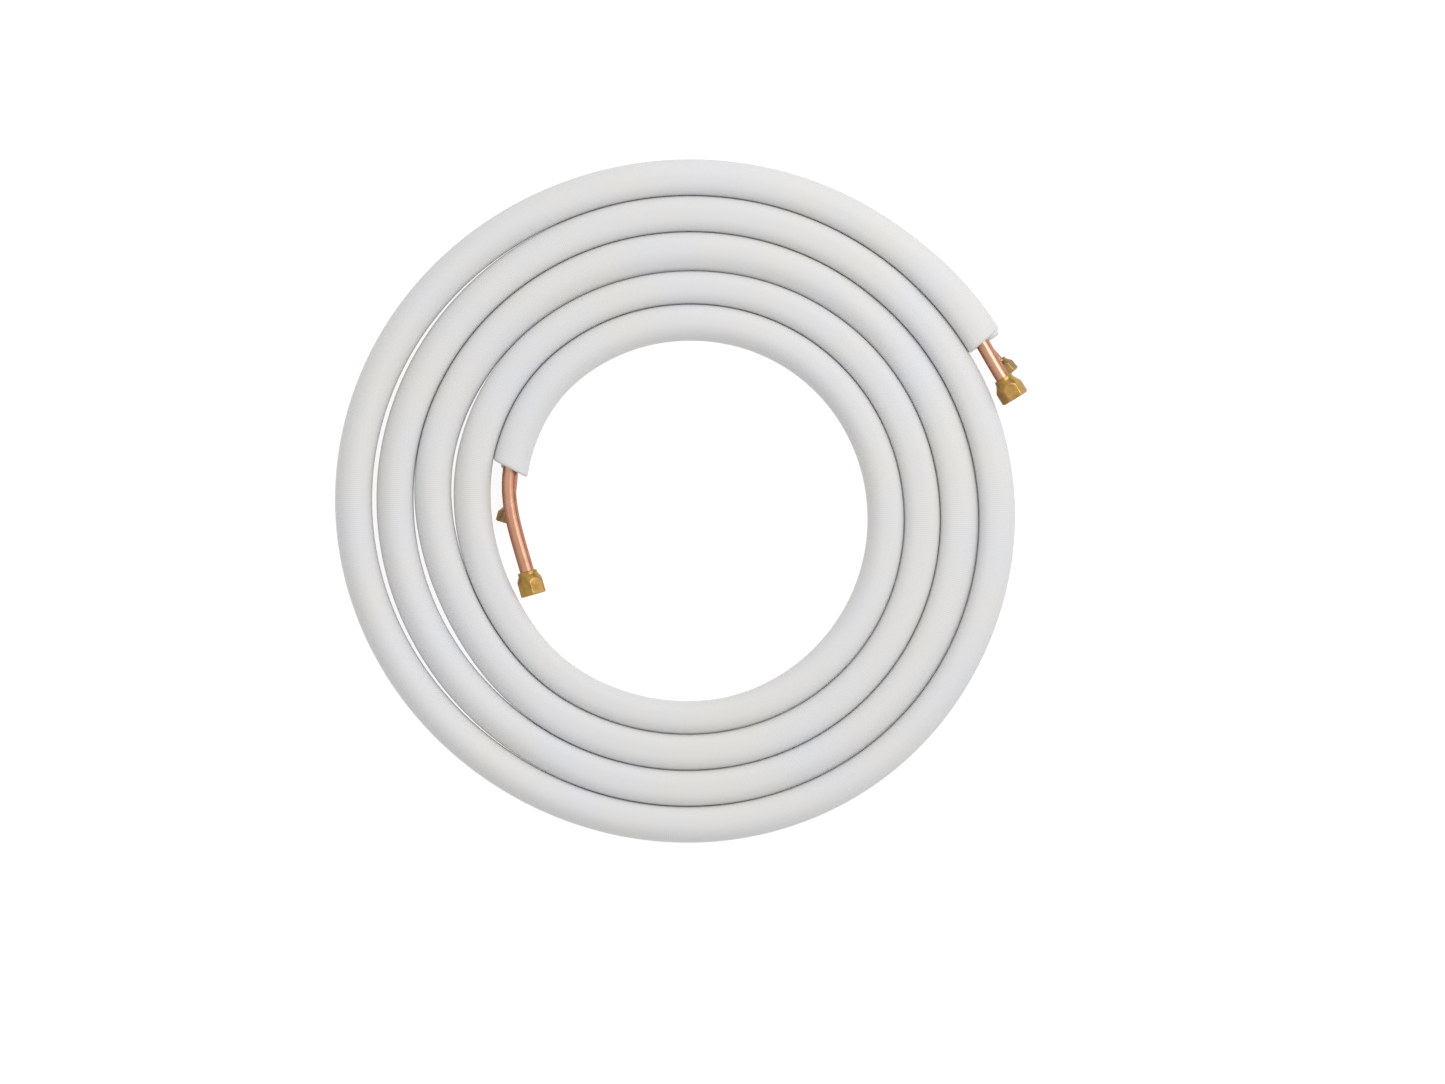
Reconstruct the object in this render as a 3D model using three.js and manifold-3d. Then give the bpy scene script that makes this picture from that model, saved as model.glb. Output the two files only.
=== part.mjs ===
// A coiled mini split line set: two soft copper lines, each in a foam sleeve, with a loose brass
// flare nut on each of the four ends. The small liquid line lies flat on the floor and the large
// suction line is coiled on top of it. Millimetres, +Z up, the coil's own plane is XY.
import * as THREE from "three";
import { mergeVertices } from "three/addons/utils/BufferGeometryUtils.js";
import Module from "manifold-3d";

const wasm = await Module();
wasm.setup();

const DEG = Math.PI / 180;
const TURN = 2 * Math.PI;

// Copper tube and foam sleeve
const SUCTION_TUBE_DIAMETER = 12.7;
const LIQUID_TUBE_DIAMETER = 6.35;
const TUBE_WALL = 0.8;
const FOAM_WALL = 9;
const FOAM_FIT_GAP = 0.3;
const STACK_GAP = 0.3;

// How far each flared mouth stands out from its tube, at 45 degrees
const SUCTION_FLARE_RISE = 1.95;
const LIQUID_FLARE_RISE = 1.4;

// Flare nuts, measured from the rear face where the tube comes out
const SUCTION_NUT_LENGTH = 21.5;
const SUCTION_SEAT_DEPTH = 9.6;
const SUCTION_NUT_WALL = 2.35;
const LIQUID_NUT_LENGTH = 15.8;
const LIQUID_SEAT_DEPTH = 7.2;
const LIQUID_NUT_WALL = 2.9;
const NUT_TUBE_GAP = 0.35;
const NUT_FLARE_GAP = 0.45;
const NUT_NECK_WALL = 2;
const NECK_END_SHARE = 0.14;
const TAPER_END_SHARE = 0.5;
const NUT_CHAMFER = 1.2;

// The coil seen from above: a spiral that tightens by one pitch a turn, slightly oval, with the
// outer turns standing a little apart on one side
const COIL_RADIUS = 303;
const TURNS = 4.382;
const TURN_GAP = 0.5;
const FIRST_ANGLE = 29.25 * DEG;
const OVAL_RISE = 3.3;
const OVAL_ANGLE = -18 * DEG;
const LOBE_RISE = 1.3;
const LOBE_ANGLE = 56.4 * DEG;

// Where each of the outer turns has sprung away from the next one, how wide the gap is at its
// middle, and how far it reaches to each side
const OUTER_GAP = { width: 4.7, middle: 179 * DEG, reach: 83 * DEG };
const SECOND_GAP = { width: 4.7, middle: 201 * DEG, reach: 39 * DEG };
const THIRD_GAP = { width: 3.3, middle: 168 * DEG, reach: 38 * DEG };

// The liquid line's ends drift out from under the suction line
const DRIFT = 3.2;
const DRIFT_REACH = 40 * DEG;

// Each bare tube end, from its sleeve's end to its nut's rear face: how far along and to the left
// of the sleeve's own direction, and the angle it has turned to the left by then
const SUCTION_OUTER_RUN = { along: 35.7, left: -0.2, turned: 1.3 * DEG };
const LIQUID_OUTER_RUN = { along: 20.4, left: 2.7, turned: 7 * DEG };
const LIQUID_INNER_RUN = { along: 32, left: -1, turned: -9.8 * DEG };

// The suction line's inner nut lies just inside the last full turn: how far round from the
// sleeve's end its mouth is, its angle to that turn, and the gap its corners keep from the foam
const SUCTION_INNER_RUN = { along: 118, turned: -15 * DEG };
const NUT_SLEEVE_GAP = 0.4;

// How finely the curves are cut
const STEPS_PER_TURN = 29;
const RUN_STEPS = 5;
const SLEEVE_SIDES = 12;
const TUBE_SIDES = 8;
const TUBE_BORE_SIDES = 6;
const NUT_SIDES = 24;

const tubeRadius = { suction: SUCTION_TUBE_DIAMETER / 2, liquid: LIQUID_TUBE_DIAMETER / 2 };
const boreRadius = {
  suction: tubeRadius.suction + FOAM_FIT_GAP,
  liquid: tubeRadius.liquid + FOAM_FIT_GAP,
};
const sleeveRadius = {
  suction: boreRadius.suction + FOAM_WALL,
  liquid: boreRadius.liquid + FOAM_WALL,
};
const threadRadius = {
  suction: tubeRadius.suction + SUCTION_FLARE_RISE + NUT_FLARE_GAP,
  liquid: tubeRadius.liquid + LIQUID_FLARE_RISE + NUT_FLARE_GAP,
};
const nutFlatRadius = {
  suction: threadRadius.suction + SUCTION_NUT_WALL,
  liquid: threadRadius.liquid + LIQUID_NUT_WALL,
};
const CORNER_PER_FLAT = 1 / Math.cos(30 * DEG);
const height = {
  suction: 2 * sleeveRadius.liquid + STACK_GAP + sleeveRadius.suction,
  liquid: sleeveRadius.liquid,
};
const PITCH = 2 * sleeveRadius.suction + TURN_GAP;
const LAST_ANGLE = FIRST_ANGLE + TURNS * TURN;

// How far one gap has opened at this angle.
function opening(angle, { width, middle, reach }) {
  const away = THREE.MathUtils.euclideanModulo(angle - middle + Math.PI, TURN) - Math.PI;
  return Math.abs(away) < reach ? width * Math.cos((away / reach) * (Math.PI / 2)) ** 2 : 0;
}

// How far the gaps outside this turn have pushed it in.
function looseness(angle) {
  const gaps = [OUTER_GAP, SECOND_GAP, THIRD_GAP].slice(0, Math.floor(angle / TURN));
  return gaps.reduce((sum, gap) => sum + opening(angle, gap), 0);
}

function drift(angle) {
  const fromOuter = Math.max(0, 1 - (angle - FIRST_ANGLE) / DRIFT_REACH);
  const fromInner = Math.max(0, 1 - (LAST_ANGLE - angle) / DRIFT_REACH);
  return DRIFT * (fromOuter ** 2 - fromInner ** 2);
}

// A point of a line's centre, at a running angle that grows from the outer end to the inner one.
function coilPoint(line, angle) {
  const spiral = COIL_RADIUS - (angle / TURN) * PITCH - looseness(angle);
  const oval = OVAL_RISE * Math.cos(2 * (angle - OVAL_ANGLE));
  const lobes = LOBE_RISE * Math.cos(3 * (angle - LOBE_ANGLE));
  const radius = spiral + oval + lobes + (line === "liquid" ? drift(angle) : 0);
  return new THREE.Vector3(radius * Math.cos(angle), radius * Math.sin(angle), height[line]);
}

function coilStation(line, angle) {
  const before = coilPoint(line, angle - 0.001);
  const after = coilPoint(line, angle + 0.001);
  return { point: coilPoint(line, angle), heading: after.sub(before).normalize() };
}

// Where a bare end starts, the way it leaves, and the place and direction of its nut.
function lineEnd(line, angle, sense, { along, left, turned }) {
  const { point, heading } = coilStation(line, angle);
  const away = heading.multiplyScalar(sense);
  const side = new THREE.Vector3(-away.y, away.x, 0);
  const nutPoint = point.clone().addScaledVector(away, along).addScaledVector(side, left);
  const nutHeading = away.clone().applyAxisAngle(new THREE.Vector3(0, 0, 1), turned);
  return { point, away, nutPoint, nutHeading };
}

// The suction line's inner end, whose nut is placed from the turn that it lies inside.
function endInsideTurn(line, { along, turned }, nutLength) {
  const { point, heading } = coilStation(line, LAST_ANGLE);
  const mouthAngle = LAST_ANGLE + along / Math.hypot(point.x, point.y);
  const beside = coilStation(line, mouthAngle - TURN);
  const inward = new THREE.Vector3(-beside.heading.y, beside.heading.x, 0);
  const apart = sleeveRadius[line] + nutFlatRadius[line] * CORNER_PER_FLAT + NUT_SLEEVE_GAP;
  const mouth = beside.point.clone().addScaledVector(inward, apart);
  const nutHeading = beside.heading.clone().applyAxisAngle(new THREE.Vector3(0, 0, 1), turned);
  const nutPoint = mouth.addScaledVector(nutHeading, -nutLength);
  return { point, away: heading, nutPoint, nutHeading };
}

// Stations from the sleeve's end, round the free bend and straight on to the flared mouth.
function runStations(end, seatDepth, flareRise) {
  const reach = end.point.distanceTo(end.nutPoint) / 3;
  const bend = new THREE.CubicBezierCurve3(
    end.point,
    end.point.clone().addScaledVector(end.away, reach),
    end.nutPoint.clone().addScaledVector(end.nutHeading, -reach),
    end.nutPoint,
  );
  const stations = [];
  for (let i = 1; i <= RUN_STEPS; i++) {
    const t = i / RUN_STEPS;
    stations.push({ point: bend.getPoint(t), heading: bend.getTangent(t) });
  }
  for (const depth of [seatDepth + 0.1, seatDepth + 0.1 + flareRise]) {
    const point = end.nutPoint.clone().addScaledVector(end.nutHeading, depth);
    stations.push({ point, heading: end.nutHeading.clone() });
  }
  return stations;
}

// The steps count back from the inner end, so that the flats of neighbouring turns lie side by side.
function coilStations(line) {
  const stations = [coilStation(line, FIRST_ANGLE)];
  for (let i = Math.ceil(TURNS * STEPS_PER_TURN) - 1; i >= 0; i--) {
    stations.push(coilStation(line, LAST_ANGLE - (i / STEPS_PER_TURN) * TURN));
  }
  return stations;
}

// A path that passes exactly through its stations, with the direction given at each.
class StationPath extends THREE.Curve {
  constructor(stations) {
    super();
    this.stations = stations;
  }
  station(t) {
    return this.stations[Math.round(t * (this.stations.length - 1))];
  }
  getPoint(t) {
    return this.station(t).point.clone();
  }
  getTangent(t) {
    return this.station(t).heading.clone();
  }
  getUtoTmapping(u) {
    return u;
  }
}

function ring(radius, sides) {
  const points = [];
  for (let i = 0; i < sides; i++) {
    const angle = (i / sides) * TURN;
    points.push(new THREE.Vector2(radius * Math.cos(angle), radius * Math.sin(angle)));
  }
  return points;
}

function sweep(outer, inner, stations) {
  const section = new THREE.Shape(outer);
  section.holes.push(new THREE.Path(inner));
  const extrudePath = new StationPath(stations);
  return new THREE.ExtrudeGeometry(section, { steps: stations.length - 1, extrudePath });
}

// Opens a tube's mouth: what lies past the flare's start moves out by as much as it lies past it.
function flare(geometry, start, heading) {
  const position = geometry.getAttribute("position");
  const vertex = new THREE.Vector3();
  for (let i = 0; i < position.count; i++) {
    vertex.fromBufferAttribute(position, i).sub(start);
    const past = vertex.dot(heading);
    const outward = vertex.clone().addScaledVector(heading, -past);
    if (past > 1e-4 && past < 10 && outward.length() < SUCTION_TUBE_DIAMETER) {
      vertex.addScaledVector(outward.normalize(), past);
      vertex.add(start);
      position.setXYZ(i, vertex.x, vertex.y, vertex.z);
    }
  }
}

function solid(geometry) {
  const bare = geometry.clone();
  bare.deleteAttribute("normal");
  bare.deleteAttribute("uv");
  const merged = mergeVertices(bare, 1e-4);
  const vertProperties = new Float32Array(merged.getAttribute("position").array);
  const triVerts = new Uint32Array(merged.index.array);
  return new wasm.Manifold(new wasm.Mesh({ numProp: 3, vertProperties, triVerts }));
}

function geometryOf(made) {
  const { vertProperties, triVerts } = made.getMesh();
  const geometry = new THREE.BufferGeometry();
  geometry.setAttribute("position", new THREE.BufferAttribute(vertProperties, 3));
  geometry.setIndex(new THREE.BufferAttribute(triVerts, 1));
  const flat = geometry.toNonIndexed();
  flat.computeVertexNormals();
  return flat;
}

// A solid of revolution about Z from [radius, z] pairs that go up the outside.
function turned(profile) {
  const points = profile.map(([radius, z]) => new THREE.Vector2(radius, z));
  return solid(new THREE.LatheGeometry(points, NUT_SIDES).rotateX(Math.PI / 2));
}

// A flare nut with its rear face at z 0 and its threaded mouth at z = length.
function nut(line, length, seatDepth) {
  const clearance = tubeRadius[line] + NUT_TUBE_GAP;
  const thread = threadRadius[line];
  const flat = nutFlatRadius[line];
  const corner = flat * CORNER_PER_FLAT;
  const neck = clearance + NUT_NECK_WALL;
  const mouth = NUT_CHAMFER / 2;
  const envelope = turned([
    [0, 0],
    [neck - mouth, 0],
    [neck, mouth],
    [neck, NECK_END_SHARE * length],
    [corner + 0.01, TAPER_END_SHARE * length],
    [corner + 0.01, length - NUT_CHAMFER],
    [flat - mouth, length],
    [0, length],
  ]);
  const bore = turned([
    [0, -1],
    [clearance, -1],
    [clearance, seatDepth],
    [thread, seatDepth + thread - clearance],
    [thread, length - mouth],
    [thread + mouth + 1, length + 1],
    [0, length + 1],
  ]);
  const bar = new THREE.CylinderGeometry(corner, corner, length + 2, 6).rotateX(Math.PI / 2);
  const hex = solid(bar.translate(0, 0, length / 2));
  return geometryOf(hex.intersect(envelope).subtract(bore));
}

const root = new THREE.Group();

function add(name, geometry, material) {
  const mesh = new THREE.Mesh(geometry, new THREE.MeshStandardMaterial(material));
  mesh.name = name;
  root.add(mesh);
  return mesh;
}

// Stands a nut on its line's end, its own Z along the tube and out of the line.
function stand(mesh, end) {
  const up = new THREE.Vector3(0, 0, 1);
  const side = new THREE.Vector3().crossVectors(up, end.nutHeading);
  const pose = new THREE.Matrix4().makeBasis(side, up, end.nutHeading);
  mesh.applyMatrix4(pose.setPosition(end.nutPoint));
}

const COPPER = { color: 0xc98a66, metalness: 1, roughness: 0.35 };
const BRASS = { color: 0xb8954a, metalness: 1, roughness: 0.4 };
const FOAM = { color: 0xe2e2e3, metalness: 0, roughness: 0.75 };

function addLine(line, outer, inner, flareRise, nutLength, seatDepth, spins) {
  const coil = coilStations(line);
  const before = runStations(outer, seatDepth, flareRise).reverse();
  before.forEach((station) => station.heading.negate());
  const after = runStations(inner, seatDepth, flareRise);
  const tube = tubeRadius[line];
  const copper = sweep(
    ring(tube, TUBE_SIDES),
    ring(tube - TUBE_WALL, TUBE_BORE_SIDES),
    [...before, ...coil, ...after],
  );
  flare(copper, before[1].point, outer.nutHeading);
  flare(copper, after[after.length - 2].point, inner.nutHeading);
  add(line + "_tube", copper, COPPER);
  const sleeve = sweep(
    ring(sleeveRadius[line], SLEEVE_SIDES),
    ring(boreRadius[line], TUBE_SIDES),
    coil,
  );
  add(line + "_insulation", sleeve, FOAM);
  for (const [place, end, spin] of [["outer", outer, spins[0]], ["inner", inner, spins[1]]]) {
    const shape = nut(line, nutLength, seatDepth).rotateZ(spin);
    stand(add(line + "_nut_" + place, shape, BRASS), end);
  }
}

addLine(
  "suction",
  lineEnd("suction", FIRST_ANGLE, -1, SUCTION_OUTER_RUN),
  endInsideTurn("suction", SUCTION_INNER_RUN, SUCTION_NUT_LENGTH),
  SUCTION_FLARE_RISE,
  SUCTION_NUT_LENGTH,
  SUCTION_SEAT_DEPTH,
  [30 * DEG, 0],
);
addLine(
  "liquid",
  lineEnd("liquid", FIRST_ANGLE, -1, LIQUID_OUTER_RUN),
  lineEnd("liquid", LAST_ANGLE, 1, LIQUID_INNER_RUN),
  LIQUID_FLARE_RISE,
  LIQUID_NUT_LENGTH,
  LIQUID_SEAT_DEPTH,
  [30 * DEG, 30 * DEG],
);

// The origin is the middle of the base of the part's box.
const box = new THREE.Box3().setFromObject(root, true);
const origin = box.getCenter(new THREE.Vector3()).setZ(box.min.z);
for (const mesh of root.children) {
  mesh.position.sub(origin);
}

export default root;
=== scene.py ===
import math

import bpy
import numpy as np
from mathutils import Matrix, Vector


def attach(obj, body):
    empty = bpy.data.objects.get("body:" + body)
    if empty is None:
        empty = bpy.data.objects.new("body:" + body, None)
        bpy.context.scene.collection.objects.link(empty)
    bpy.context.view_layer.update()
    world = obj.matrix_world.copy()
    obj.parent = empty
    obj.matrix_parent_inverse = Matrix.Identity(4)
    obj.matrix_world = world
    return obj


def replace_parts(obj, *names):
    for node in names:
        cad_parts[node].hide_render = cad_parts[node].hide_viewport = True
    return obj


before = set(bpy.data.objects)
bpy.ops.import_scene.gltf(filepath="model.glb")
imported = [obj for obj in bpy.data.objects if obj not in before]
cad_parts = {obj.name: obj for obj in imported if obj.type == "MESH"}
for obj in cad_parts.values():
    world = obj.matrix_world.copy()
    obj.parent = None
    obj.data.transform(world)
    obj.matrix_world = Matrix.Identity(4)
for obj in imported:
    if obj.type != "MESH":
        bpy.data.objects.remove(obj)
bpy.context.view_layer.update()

# Lengths are in mm and angles in radians, except where a comment says otherwise
MM = 0.001
DEG = math.pi / 180
TURN = 2 * math.pi

# Where the coil's centre is in the row frame
COIL_X, COIL_Y = 2.518, -7.908

# Sizes of the two lines
TUBE_RADIUS = {"suction": 6.35, "liquid": 3.175}
TUBE_WALL = 0.8
SLEEVE_RADIUS = {"suction": 15.65, "liquid": 12.475}
SLEEVE_BORE = {"suction": 6.65, "liquid": 3.475}
CENTRE_HEIGHT = {"suction": 40.9, "liquid": 12.475}
FLARE_RISE = {"suction": 1.95, "liquid": 1.4}

# The coil: its pitch, its oval, its three lobes, and how the liquid line's ends drift out
COIL_RADIUS = 303.0
TURNS = 4.382
PITCH = 31.8
FIRST = 29.25 * DEG
LAST = FIRST + TURNS * TURN
OVAL_RISE, OVAL_ANGLE = 3.3, -18 * DEG
LOBE_RISE, LOBE_ANGLE = 1.3, 56.4 * DEG
DRIFT, DRIFT_REACH = 3.2, 40 * DEG

# The gap outside each turn but the first: its width, its middle and its reach
GAPS = ((4.7, 179 * DEG, 83 * DEG), (4.7, 201 * DEG, 39 * DEG), (3.3, 168 * DEG, 38 * DEG))

# Each bare end: how far along, how far left, how far turned, and the nut's own spin
RUNS = {
    ("suction", "outer"): (35.7, -0.2, 1.3 * DEG, 30 * DEG),
    ("liquid", "outer"): (20.4, 2.7, 7 * DEG, 30 * DEG),
    ("liquid", "inner"): (32, -1, -9.8 * DEG, 30 * DEG),
}

# The suction line's inner nut lies inside a turn: how far round its mouth is, how far it has
# turned from that turn, how far its axis is from the turn's centre, and its own spin
BESIDE_TURN = (118, -15 * DEG, 28.867, 0.0)

# The foam: its free half width, the gap left in a crease, its rounded and slanting ends, and
# how flat it gets once a turn presses it by more than PRESS_DEPTH
FREE_HALF_WIDTH = 16.3
SKIN_GAP = 0.04
PRESS_DEPTH = 0.4
PRESS_FLATNESS = 0.8
END_ROUNDING = 2.6
BORE_ROUNDING = 0.7
INNER_CUT_SLANT = 18 * DEG
OUTER_CUT_SLANT = 10 * DEG
SLANT_REACH = 30
LIQUID_OVERHANG = 1.3

# Where the foam's outer side is pushed out (or in, below 0) on the suction line: how far, and
# the running angle and reach of it. The foam of the turn outside gives way by as much
PUSHES = (
    (3.2, 29 * DEG, 25 * DEG),
    (2.4, 370 * DEG, 45 * DEG),
    (2.4, 710 * DEG, 80 * DEG),
    (-2.9, 1178 * DEG, 75 * DEG),
)
# Where the last turn's inner side is squeezed in
SQUEEZE = (4.4, 1335 * DEG, 75 * DEG)

# Flare nuts
NUT_LENGTH = {"suction": 21.5, "liquid": 15.8}
SEAT_DEPTH = {"suction": 9.6, "liquid": 7.2}
NUT_WALL = {"suction": 2.35, "liquid": 2.9}
THREAD_PITCH = {"suction": 1.588, "liquid": 1.27}
THREAD_DEPTH = {"suction": 0.75, "liquid": 0.62}
THREAD_RUNOUT = 1.2
NUT_TUBE_GAP = 0.35
NUT_FLARE_GAP = 0.45
NUT_NECK_WALL = 2.0
NECK_END_SHARE = 0.14
TAPER_END_SHARE = 0.5
NUT_CHAMFER = 1.2
# How far the turned body stands over the hexagon's corners, and how the edges are worn
BODY_OVER_CORNER = 0.35
CORNER_WEAR = 0.1
CORNER_ROUNDING = 0.5
EDGE_ROUNDING = 0.45

# How finely the pieces are divided
SLEEVE_STATIONS, SLEEVE_SIDES = 790, 48
TUBE_STATIONS, TUBE_SIDES = 520, 40
RUN_STATIONS = 15
NUT_SIDES, THREAD_RINGS = 144, 130

# Material details, in metres
RIB_SPACING = 0.00176
TOOL_MARK_SPACING = 0.00028
FOAM_RELIEF = 0.00022
METAL_RELIEF = 0.00006

# Studio and camera, in metres except where a name says otherwise
FLOOR_SIZE, FLOOR_DEPTH = 12, 0.0003
KEY_PLACE, KEY_SIZE, KEY_WATTS = (1.1, 1.3, 2.4), (1.8, 1.8), 26
DOME_STOPS = ((0, 0.1), (0.25, 0.6), (0.5, 1), (1, 0.8))
DOME_LEAN = (0.2, 0.22, 0.0)
PHOTO_SIZE = (1445, 1084)
COIL_PIXEL = (684.45, 509.76)
MM_PER_PIXEL = 0.88
CAMERA_HEIGHT = 6.0
SCALE_HEIGHT = 0.041
SENSOR_MM = 36


def bump(angle, height, middle, reach):
    """A smooth bump round one running angle."""
    away = np.clip((angle - middle) / reach, -1, 1)
    return height * np.cos(away * math.pi / 2) ** 2


def looseness(angle):
    """How far the gaps outside this turn have pushed it in."""
    total = np.zeros_like(angle)
    for i, (width, middle, reach) in enumerate(GAPS):
        away = (angle - middle + math.pi) % TURN - math.pi
        total += np.where(angle > TURN * (i + 1), bump(away, width, 0, reach), 0.0)
    return total


def coil_radius(line, angle):
    r = COIL_RADIUS - angle / TURN * PITCH - looseness(angle)
    r = r + OVAL_RISE * np.cos(2 * (angle - OVAL_ANGLE))
    r = r + LOBE_RISE * np.cos(3 * (angle - LOBE_ANGLE))
    if line == "liquid":
        outer = np.maximum(0, 1 - (angle - FIRST) / DRIFT_REACH)
        inner = np.maximum(0, 1 - (LAST - angle) / DRIFT_REACH)
        r = r + DRIFT * (outer**2 - inner**2)
    return r


def end_radii(line):
    """The coil's radius at the sleeve's outer end and at its inner end."""
    return coil_radius(line, np.array([FIRST, LAST]))


def coil_points(line, angle):
    r = coil_radius(line, angle)
    x, y = r * np.cos(angle) + COIL_X, r * np.sin(angle) + COIL_Y
    return np.stack([x, y, np.full_like(x, CENTRE_HEIGHT[line])], -1)


def unit(v):
    return v / np.linalg.norm(v, axis=-1, keepdims=True)


def coil_headings(line, angle):
    return unit(coil_points(line, angle + 1e-3) - coil_points(line, angle - 1e-3))


def left_of(way):
    return np.array([-way[1], way[0], 0])


def turned_left(way, angle):
    return way * math.cos(angle) + left_of(way) * math.sin(angle)


def line_end(line, place):
    """The sleeve's end, the way out of it, and the nut's rear face, direction and spin."""
    angle = np.array([FIRST if place == "outer" else LAST])
    point = coil_points(line, angle)[0]
    away = coil_headings(line, angle)[0] * (-1 if place == "outer" else 1)
    if (line, place) in RUNS:
        along, left, turned, spin = RUNS[line, place]
        rear = point + away * along + left_of(away) * left
        return point, away, rear, turned_left(away, turned), spin
    along, turned, apart, spin = BESIDE_TURN
    beside = angle + along / coil_radius(line, angle) - TURN
    way = coil_headings(line, beside)[0]
    mouth = coil_points(line, beside)[0] + left_of(way) * apart
    heading = turned_left(way, turned)
    return point, away, mouth - heading * NUT_LENGTH[line], heading, spin


def run_points(line, place):
    """Stations from the sleeve's end to the flared mouth, with the flare's growth at each."""
    point, away, nut, heading, _ = line_end(line, place)
    reach = np.linalg.norm(nut - point) / 3
    p1, p2 = point + away * reach, nut - heading * reach
    t = np.linspace(0, 1, RUN_STATIONS)[1:, None]
    bend = (1 - t) ** 3 * point + 3 * t * (1 - t) ** 2 * p1
    bend = bend + 3 * t**2 * (1 - t) * p2 + t**3 * nut
    way = 3 * (1 - t) ** 2 * (p1 - point) + 6 * t * (1 - t) * (p2 - p1)
    way = unit(way + 3 * t**2 * (nut - p2))
    # The flare opens at 45 degrees and ends in a rolled lip
    start, rise = SEAT_DEPTH[line] + 0.1, FLARE_RISE[line]
    depths = start + rise * np.array([-0.3, 0, 0.2, 0.6, 0.95, 1.0])
    growth = rise * np.array([0, 0.02, 0.18, 0.6, 0.95, 0.97])
    points = np.concatenate([bend, nut + heading * depths[:, None]])
    ways = np.concatenate([way, np.repeat(heading[None], len(depths), 0)])
    return points, ways, np.concatenate([np.zeros(len(bend)), growth])


def add_mesh(name, vertices, faces, uvs, material, sharp):
    """A smooth mesh from mm. uvs has one (u, v) in mm for each face corner."""
    mesh = bpy.data.meshes.new(name)
    mesh.from_pydata((np.asarray(vertices) * MM).tolist(), [], faces)
    layer = mesh.uv_layers.new(name="along_and_round")
    layer.data.foreach_set("uv", (np.asarray(uvs) * MM).astype(np.float32).ravel())
    mesh.polygons.foreach_set("use_smooth", [True] * len(mesh.polygons))
    mesh.set_sharp_from_angle(angle=sharp * DEG)
    mesh.validate()
    mesh.materials.append(material)
    obj = bpy.data.objects.new(name, mesh)
    bpy.context.scene.collection.objects.link(obj)
    return obj


def loft(name, rings, along, material, sharp):
    """A closed tube from rings of points, going up the outside and back down the inside.

    along is each ring's place on the way, and edges over sharp degrees stay sharp.
    """
    count, sides = rings.shape[:2]
    faces, uvs = [], []
    girth = np.linalg.norm(rings - np.roll(rings, -1, 1), axis=-1).sum(1)
    for i in range(count):
        j = (i + 1) % count
        length = along[j] if j else along[i] + 1
        for k in range(sides):
            m = (k + 1) % sides
            faces.append((i * sides + k, i * sides + m, j * sides + m, j * sides + k))
            v0, v1 = k / sides * girth[i], (k + 1) / sides * girth[i]
            uvs += [(along[i], v0), (along[i], v1), (length, v1), (length, v0)]
    return add_mesh(name, rings.reshape(-1, 3), faces, uvs, material, sharp)


def round_angles(sides):
    return np.arange(sides) / sides * TURN


def place_rings(points, ways, across, up, forward=None):
    """A ring of points at each station: across to its left, up, and forward if given."""
    lefts = np.stack([-ways[:, 1], ways[:, 0], np.zeros(len(ways))], -1)
    rings = points[:, None] + lefts[:, None] * across[..., None]
    rings = rings + np.array([0, 0, 1.0]) * up[..., None]
    if forward is not None:
        rings = rings + ways[:, None] * forward[..., None]
    return rings


def arc_length(points):
    steps = np.linalg.norm(np.diff(points, axis=0), axis=1)
    return np.concatenate([[0], np.cumsum(steps)])


def cut_slant(line, angle, across):
    """How far each point moves along the line, because a sleeve isn't cut quite square."""
    r0, r1 = end_radii(line)
    near_outer = np.clip(1 - (angle - FIRST) * r0 / SLANT_REACH, 0, 1)[:, None]
    near_inner = np.clip(1 - (LAST - angle) * r1 / SLANT_REACH, 0, 1)[:, None]
    if line == "liquid":
        return -LIQUID_OVERHANG * near_outer + 0 * across
    slant = near_inner * math.tan(INNER_CUT_SLANT) - near_outer * math.tan(OUTER_CUT_SLANT)
    return across * slant


def smoothed_in(width):
    """The width eased over nine stations, and never wider than it was."""
    eased = np.convolve(np.pad(width, 4, "edge"), np.ones(9) / 9, "valid")
    return np.minimum(width, eased)


def half_widths(line, angle, free):
    """The sleeve's half width towards the coil's centre and away from it, at each station."""
    radius = coil_radius(line, angle)
    suction = line == "suction"
    push = sum(bump(angle, *one) for one in (PUSHES if suction else PUSHES[:1]))
    push_within = sum(bump(angle + TURN, *one) for one in PUSHES) if suction else 0
    free_inside = free - (bump(angle, *SQUEEZE) if suction else 0)
    # The room on each side is shared with the neighbouring turn
    outside = (coil_radius(line, angle - TURN) - radius) / 2 - SKIN_GAP
    inside = (radius - coil_radius(line, angle + TURN)) / 2 - SKIN_GAP
    outside = np.where(angle - TURN > FIRST - 0.02, np.minimum(free, outside), free) + push
    within = np.minimum(free, inside) - push_within
    inside = np.where(angle + TURN < LAST + 0.02, within, free_inside)
    return smoothed_in(inside), smoothed_in(outside)


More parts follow.
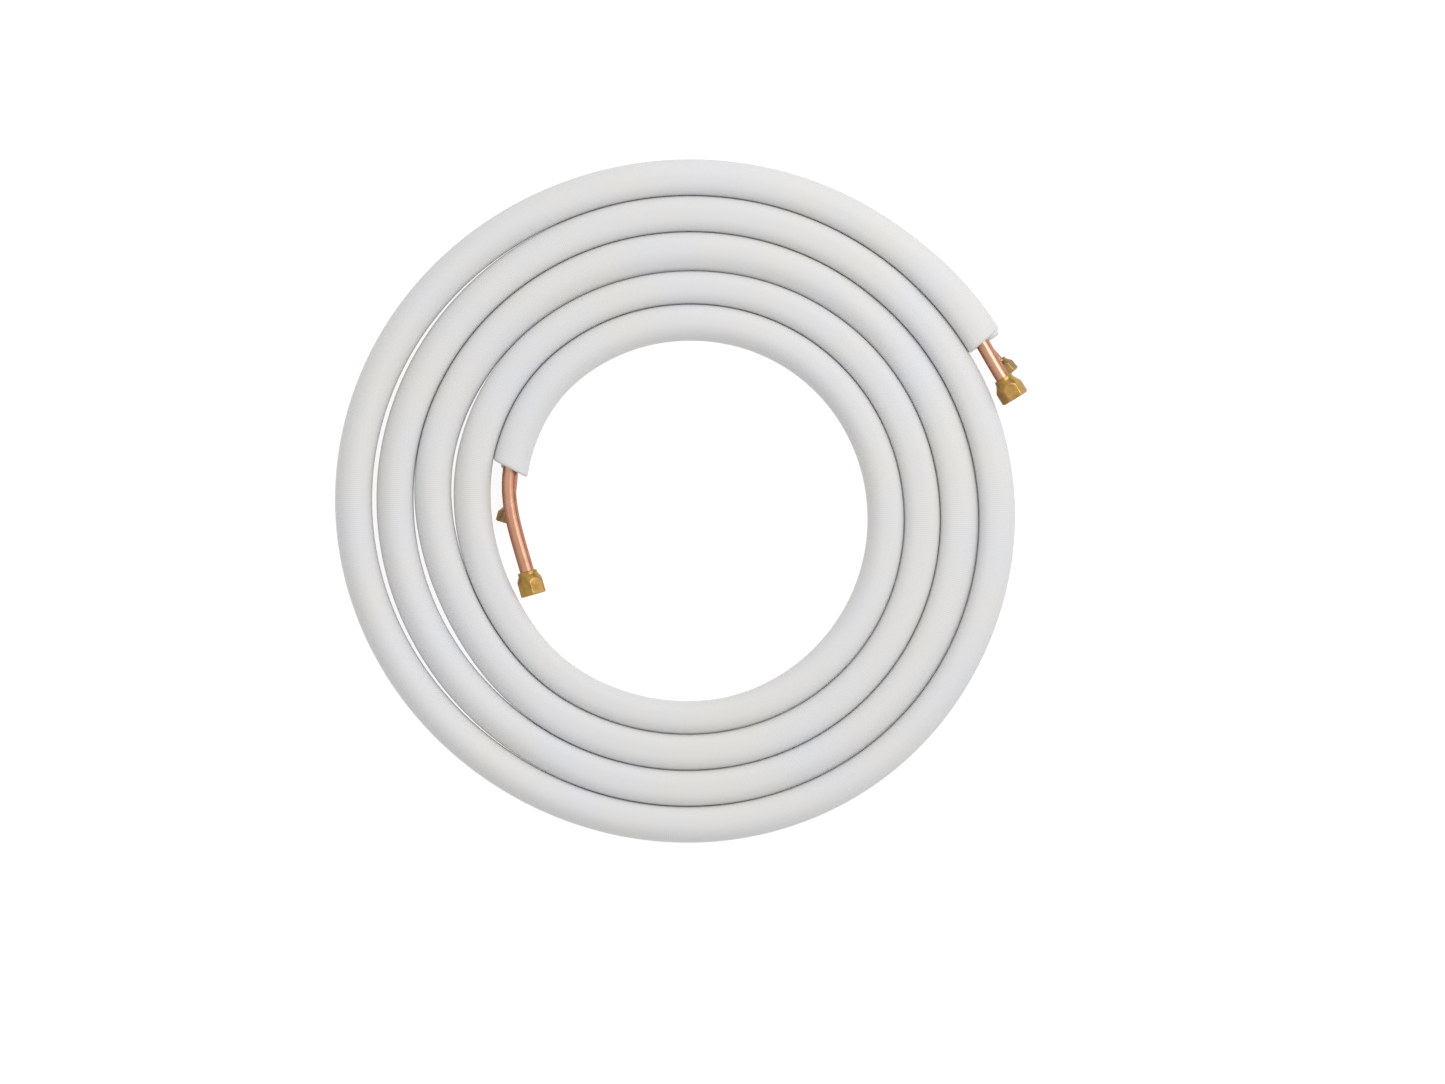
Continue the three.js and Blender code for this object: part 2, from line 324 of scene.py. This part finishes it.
def sleeve_outside(line, whole):
    """The sleeve's outer rings with rounded ends, and the points that they lie round."""
    quarter = np.linspace(0, 90, 6) * DEG
    inset, back = END_ROUNDING * (1 - np.cos(quarter)), END_ROUNDING * (1 - np.sin(quarter))
    r0, r1 = end_radii(line)
    first, last = FIRST + back[::-1] / r0, LAST - back / r1
    middle = whole[(whole > first[-1] + 0.01) & (whole < last[0] - 0.01)]
    angle = np.concatenate([first, middle, last])
    pulled = np.concatenate([inset[::-1], np.zeros(len(middle)), inset])[:, None]
    tall = SLEEVE_RADIUS[line]
    free = FREE_HALF_WIDTH if line == "suction" else tall
    inside, outside = half_widths(line, angle, free)
    cos, sin = np.cos(round_angles(SLEEVE_SIDES)), np.sin(round_angles(SLEEVE_SIDES))
    # The left of the heading is towards the coil's centre
    wide = np.where(cos > 0, inside[:, None], outside[:, None])
    # An ellipse where the foam is free, and squarer where it is pressed
    power = 2 / (2 + PRESS_FLATNESS * np.clip((free - wide) / PRESS_DEPTH, 0, 1))
    across = np.sign(cos) * np.abs(cos) ** power * (wide - pulled)
    up = np.sign(sin) * np.abs(sin) ** power * (tall - pulled)
    points, ways = coil_points(line, angle), coil_headings(line, angle)
    return place_rings(points, ways, across, up, cut_slant(line, angle, across)), points


def sleeve_bore(line, whole):
    """The rings of the sleeve's bore, with a small rounding at each mouth."""
    r0, r1 = end_radii(line)
    ends = np.array([0, 0.3, 1.0]) * BORE_ROUNDING
    grow = np.array([1.0, 0.3, 0]) * BORE_ROUNDING
    middle = whole[2:-2:2]
    angle = np.concatenate([FIRST + ends / r0, middle, LAST - ends[::-1] / r1])
    grown = np.concatenate([grow, np.zeros(len(middle)), grow[::-1]])
    bore = (SLEEVE_BORE[line] + grown)[:, None]
    t = round_angles(SLEEVE_SIDES)
    across, up = bore * np.cos(t), bore * np.sin(t)
    points, ways = coil_points(line, angle), coil_headings(line, angle)
    return place_rings(points, ways, across, up, cut_slant(line, angle, across))


def sleeve(line, material):
    """A foam sleeve: round where it is free, flattened a little where two turns press."""
    whole = np.linspace(FIRST, LAST, SLEEVE_STATIONS)
    outer, points = sleeve_outside(line, whole)
    inner = sleeve_bore(line, whole)[::-1]
    length = arc_length(points)
    along = np.concatenate([length, length[-1] + arc_length(inner[:, 0])])
    return loft(line + "_foam", np.concatenate([outer, inner]), along, material, 50)


def tube(line, material):
    """A copper line from one flared mouth to the other."""
    p0, w0, g0 = run_points(line, "outer")
    p1, w1, g1 = run_points(line, "inner")
    angle = np.linspace(FIRST, LAST, TUBE_STATIONS)
    points = np.concatenate([p0[::-1], coil_points(line, angle), p1])
    ways = np.concatenate([-w0[::-1], coil_headings(line, angle), w1])
    growth = np.concatenate([g0[::-1], np.zeros(len(angle)), g1])
    t = round_angles(TUBE_SIDES)
    outside = TUBE_RADIUS[line] + growth
    outer, inner = (
        place_rings(points, ways, r[:, None] * np.cos(t), r[:, None] * np.sin(t))
        for r in (outside, outside - TUBE_WALL)
    )
    length = arc_length(points)
    along = np.concatenate([length, length[-1] + TUBE_WALL + length])
    return loft(line + "_copper", np.concatenate([outer, inner[::-1]]), along, material, 35)


def soft_min(a, b, width):
    """The smaller of a and b, with the edge between them rounded over about width."""
    gap = np.clip(0.5 + 0.5 * (b - a) / width, 0, 1)
    return b * (1 - gap) + a * gap - width * gap * (1 - gap)


def nut_radii(line):
    """The clearance hole's radius, the thread's and the hexagon's flat."""
    clearance = TUBE_RADIUS[line] + NUT_TUBE_GAP
    thread = TUBE_RADIUS[line] + FLARE_RISE[line] + NUT_FLARE_GAP
    return clearance, thread, thread + NUT_WALL[line]


def nut_outside(line, spin):
    """Heights and radii of a turned neck and taper that run out into a hexagon."""
    length, mouth = NUT_LENGTH[line], NUT_CHAMFER / 2
    clearance, _, flat = nut_radii(line)
    neck = clearance + NUT_NECK_WALL
    corner = flat / math.cos(30 * DEG)
    neck_end, taper_end = NECK_END_SHARE * length, TAPER_END_SHARE * length
    z = np.concatenate([
        np.linspace(0, 1.0, 6),
        np.linspace(1.0, taper_end + 1, 40)[1:],
        np.linspace(taper_end + 1, length - 2.2, 8)[1:],
        np.linspace(length - 2.2, length, 14)[1:],
    ])
    body = corner + BODY_OVER_CORNER
    profile = np.interp(
        z,
        [0, mouth, neck_end, taper_end, length - NUT_CHAMFER, length],
        [neck - mouth, neck, neck, body, body, flat - mouth],
    )
    t = round_angles(NUT_SIDES)
    hexagon = flat / np.cos((t - spin + 30 * DEG) % (60 * DEG) - 30 * DEG)
    hexagon = soft_min(hexagon, np.full_like(hexagon, corner - CORNER_WEAR), CORNER_ROUNDING)
    return z, soft_min(profile[:, None], hexagon[None], EDGE_ROUNDING)


def nut_inside(line):
    """Heights and radii back down the inside: chamfer, thread, runout, seat and hole."""
    length, seat, mouth = NUT_LENGTH[line], SEAT_DEPTH[line], NUT_CHAMFER / 2
    clearance, thread, _ = nut_radii(line)
    seat_top = seat + thread - clearance
    turns = np.linspace(length - mouth - 0.1, seat_top + 1.0, THREAD_RINGS)
    heights = np.concatenate([[length, length - 0.3], turns])
    t = round_angles(NUT_SIDES)
    wave = np.abs(((heights[:, None] / THREAD_PITCH[line] - t / TURN) % 1) * 2 - 1)
    cut = THREAD_DEPTH[line] * np.clip(wave * 1.35 - 0.2, 0, 1)
    fade = np.clip((length - heights) / THREAD_RUNOUT, 0, 1)
    fade = fade * np.clip((heights - turns[-1]) / THREAD_RUNOUT, 0, 1)
    threads = thread - 0.05 + cut * fade[:, None]
    threads[0], threads[1] = thread + mouth, thread + mouth - 0.3
    seats = np.array([seat_top, seat, seat - 0.01, 0.4, 0.0])
    bores = np.array([thread, clearance, clearance, clearance, clearance + 0.4])
    bores = np.repeat(bores[:, None], NUT_SIDES, 1)
    return np.concatenate([heights, seats]), np.concatenate([threads, bores])


def flare_nut(line, place, material):
    """A turned and forged hexagon nut with a real thread inside its mouth."""
    _, _, rear, heading, spin = line_end(line, place)
    (low, outer), (high, inner) = nut_outside(line, spin), nut_inside(line)
    heights, radii = np.concatenate([low, high]), np.concatenate([outer, inner])
    points = rear + heading * heights[:, None]
    ways = np.repeat(heading[None], len(heights), 0)
    t = round_angles(NUT_SIDES)
    rings = place_rings(points, ways, radii * np.cos(t), radii * np.sin(t))
    along = np.concatenate([[0], np.cumsum(np.abs(np.diff(heights)))])
    return loft(f"{line}_{place}_flare_nut", rings, along, material, 40)


def new_material(name):
    material = bpy.data.materials.new(name)
    material.use_nodes = True
    tree = material.node_tree
    tree.nodes.clear()
    out = tree.nodes.new("ShaderNodeOutputMaterial")
    shader = tree.nodes.new("ShaderNodeBsdfPrincipled")
    tree.links.new(shader.outputs["BSDF"], out.inputs["Surface"])
    return material, tree, shader


def node(tree, kind, **inputs):
    """A node with its inputs set or linked. A name like i0 means the input's number."""
    made = tree.nodes.new(kind)
    for key, value in inputs.items():
        numbered = key[0] == "i" and key[1:].isdigit()
        socket = made.inputs[int(key[1:]) if numbered else key]
        if hasattr(value, "is_output"):
            tree.links.new(value, socket)
        else:
            socket.default_value = value
    return made


def math_node(tree, operation, a, b=0.0):
    made = node(tree, "ShaderNodeMath", i0=a, i1=b)
    made.operation = operation
    return made.outputs[0]


def add(tree, a, b):
    return math_node(tree, "ADD", a, b)


def times(tree, a, b):
    return math_node(tree, "MULTIPLY", a, b)


def ramp(tree, fac, stops):
    made = node(tree, "ShaderNodeValToRGB", Fac=fac)
    points = made.color_ramp.elements
    while len(points) < len(stops):
        points.new(0.5)
    for point, (at, colour) in zip(points, stops):
        point.position = at
        point.color = (*colour, 1)
    return made.outputs["Color"]


def noise(tree, place, scale, detail):
    made = node(tree, "ShaderNodeTexNoise", Vector=place, Scale=scale, Detail=detail)
    return made.outputs[0]


def waves_along(tree, spacing):
    """A sine wave along the line, spacing metres long."""
    uv = node(tree, "ShaderNodeUVMap").outputs[0]
    split = node(tree, "ShaderNodeSeparateXYZ", Vector=uv)
    return math_node(tree, "SINE", times(tree, split.outputs[0], TURN / spacing))


def set_relief(tree, shader, height, strength, distance):
    made = node(tree, "ShaderNodeBump", Strength=strength, Distance=distance, Height=height)
    tree.links.new(made.outputs[0], shader.inputs["Normal"])


def foam_material():
    """White foam skin with fine embossed ribs across the line and a faint mottle."""
    material, tree, shader = new_material("white_foam")
    place = node(tree, "ShaderNodeTexCoord").outputs["Object"]
    mottle = noise(tree, place, 14.0, 6.0)
    colour = ramp(tree, mottle, [(0.35, (0.67, 0.675, 0.695)), (0.65, (0.69, 0.678, 0.655))])
    tree.links.new(colour, shader.inputs["Base Color"])
    ribs = times(tree, waves_along(tree, RIB_SPACING), 0.35)
    height = add(tree, ribs, noise(tree, place, 1400.0, 2.0))
    set_relief(tree, shader, height, 0.55, FOAM_RELIEF)
    shader.inputs["Roughness"].default_value = 0.62
    shader.inputs["Specular IOR Level"].default_value = 0.35
    return material


def copper_material():
    """Soft drawn copper: long draw streaks that also paint highlight streaks, brown tarnish, and
    painted shade that makes the sides darker than the top.
    """
    material, tree, shader = new_material("soft_copper")
    uv = node(tree, "ShaderNodeUVMap").outputs[0]
    stretch = node(tree, "ShaderNodeMapping", Vector=uv, Scale=(12.0, 900.0, 1.0)).outputs[0]
    streak = noise(tree, stretch, 1.0, 4.0)
    place = node(tree, "ShaderNodeTexCoord").outputs["Object"]
    patch = noise(tree, place, 90.0, 4.0)
    # Painted light and shade: where the tube faces up its colour is painted lighter, and its
    # sides are painted darker
    normal = node(tree, "ShaderNodeNewGeometry").outputs["Normal"]
    painted_top_light = node(tree, "ShaderNodeSeparateXYZ", Vector=normal).outputs[2]
    painted_light_and_tarnish = times(tree, math_node(tree, "MAXIMUM", painted_top_light, 0.0), 0.5)
    # The draw streaks go into the colour too, where they are partly painted highlight streaks
    painted_light_and_tarnish = add(tree, painted_light_and_tarnish, times(tree, streak, 0.5))
    painted_light_and_tarnish = add(tree, painted_light_and_tarnish, times(tree, patch, 0.2))
    stops = [(0.3, (0.3, 0.09, 0.045)), (0.6, (0.46, 0.18, 0.095)), (0.9, (0.74, 0.41, 0.28))]
    tree.links.new(ramp(tree, painted_light_and_tarnish, stops), shader.inputs["Base Color"])
    rough = add(tree, times(tree, patch, 0.2), 0.16)
    tree.links.new(rough, shader.inputs["Roughness"])
    set_relief(tree, shader, streak, 0.3, METAL_RELIEF)
    shader.inputs["Metallic"].default_value = 1.0
    return material


def brass_material(name, dark, light):
    """Forged and turned brass with fine tool marks round the nut."""
    material, tree, shader = new_material(name)
    place = node(tree, "ShaderNodeTexCoord").outputs["Object"]
    patch = noise(tree, place, 160.0, 4.0)
    colour = ramp(tree, patch, [(0.3, dark), (0.7, light)])
    tree.links.new(colour, shader.inputs["Base Color"])
    rough = add(tree, times(tree, patch, 0.2), 0.2)
    tree.links.new(rough, shader.inputs["Roughness"])
    marks = times(tree, waves_along(tree, TOOL_MARK_SPACING), 0.3)
    set_relief(tree, shader, add(tree, marks, patch), 0.3, METAL_RELIEF)
    shader.inputs["Metallic"].default_value = 1.0
    return material


def add_floor():
    """A plain white floor that glows a little, as a light table does."""
    bpy.ops.mesh.primitive_plane_add(size=FLOOR_SIZE, location=(0, 0, -FLOOR_DEPTH))
    floor = bpy.context.object
    floor.name = "floor"
    material, _, shader = new_material("floor_white")
    shader.inputs["Base Color"].default_value = (0.25, 0.25, 0.25, 1)
    shader.inputs["Roughness"].default_value = 0.9
    shader.inputs["Specular IOR Level"].default_value = 0.1
    shader.inputs["Emission Color"].default_value = (1, 1, 1, 1)
    shader.inputs["Emission Strength"].default_value = 0.84
    floor.data.materials.append(material)


def add_key_light():
    """A soft box over the upper right, aimed at the coil."""
    data = bpy.data.lights.new("key_soft_box", "AREA")
    data.shape = "RECTANGLE"
    data.size, data.size_y = KEY_SIZE
    data.energy = KEY_WATTS
    light = bpy.data.objects.new("key_soft_box", data)
    light.location = KEY_PLACE
    bpy.context.scene.collection.objects.link(light)
    light.rotation_euler = (-Vector(KEY_PLACE)).to_track_quat("-Z", "Y").to_euler()


def add_world():
    """A dome of soft light, dim at the horizon and a little brighter towards the upper right."""
    world = bpy.data.worlds.new("studio")
    world.use_nodes = True
    tree = world.node_tree
    background = tree.nodes["Background"]
    way = node(tree, "ShaderNodeTexCoord").outputs["Generated"]
    rise = node(tree, "ShaderNodeSeparateXYZ", Vector=way).outputs[2]
    stops = [(at, (level,) * 3) for at, level in DOME_STOPS]
    towards = node(tree, "ShaderNodeVectorMath", i0=way, i1=DOME_LEAN)
    towards.operation = "DOT_PRODUCT"
    strength = add(tree, towards.outputs["Value"], 1.0)
    tree.links.new(ramp(tree, rise, stops), background.inputs["Color"])
    tree.links.new(strength, background.inputs["Strength"])
    bpy.context.scene.world = world


def add_camera():
    """A camera that looks straight down, so far up that the view is nearly parallel."""
    data = bpy.data.cameras.new("camera")
    data.sensor_width = SENSOR_MM
    frame_width = PHOTO_SIZE[0] * MM_PER_PIXEL * MM
    data.lens = SENSOR_MM * (CAMERA_HEIGHT - SCALE_HEIGHT) / frame_width
    camera = bpy.data.objects.new("camera", data)
    bpy.context.scene.collection.objects.link(camera)
    x = COIL_X + (PHOTO_SIZE[0] / 2 - COIL_PIXEL[0]) * MM_PER_PIXEL
    y = COIL_Y + (COIL_PIXEL[1] - PHOTO_SIZE[1] / 2) * MM_PER_PIXEL
    camera.location = (x * MM, y * MM, CAMERA_HEIGHT)
    bpy.context.scene.camera = camera


FOAM, COPPER = foam_material(), copper_material()
BRASS = {
    "suction": brass_material("turned_brass", (0.38, 0.215, 0.06), (0.55, 0.335, 0.105)),
    # The liquid line's nuts get a darker copy of the same brass: painted shade, since they sit
    # low in the shadow of the copper and foam
    "liquid": brass_material("brass_painted_darker_shade", (0.27, 0.165, 0.06), (0.38, 0.25, 0.1)),
}
for line in ("suction", "liquid"):
    piece = sleeve(line, FOAM)
    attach(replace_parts(piece, line + "_insulation"), "line_set")
    piece = tube(line, COPPER)
    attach(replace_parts(piece, line + "_tube"), "line_set")
    for place in ("outer", "inner"):
        name = f"{line}_nut_{place}"
        piece = flare_nut(line, place, BRASS[line])
        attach(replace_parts(piece, name), name)

add_floor()
add_key_light()
add_world()
add_camera()
bpy.context.scene.view_settings.view_transform = "Standard"
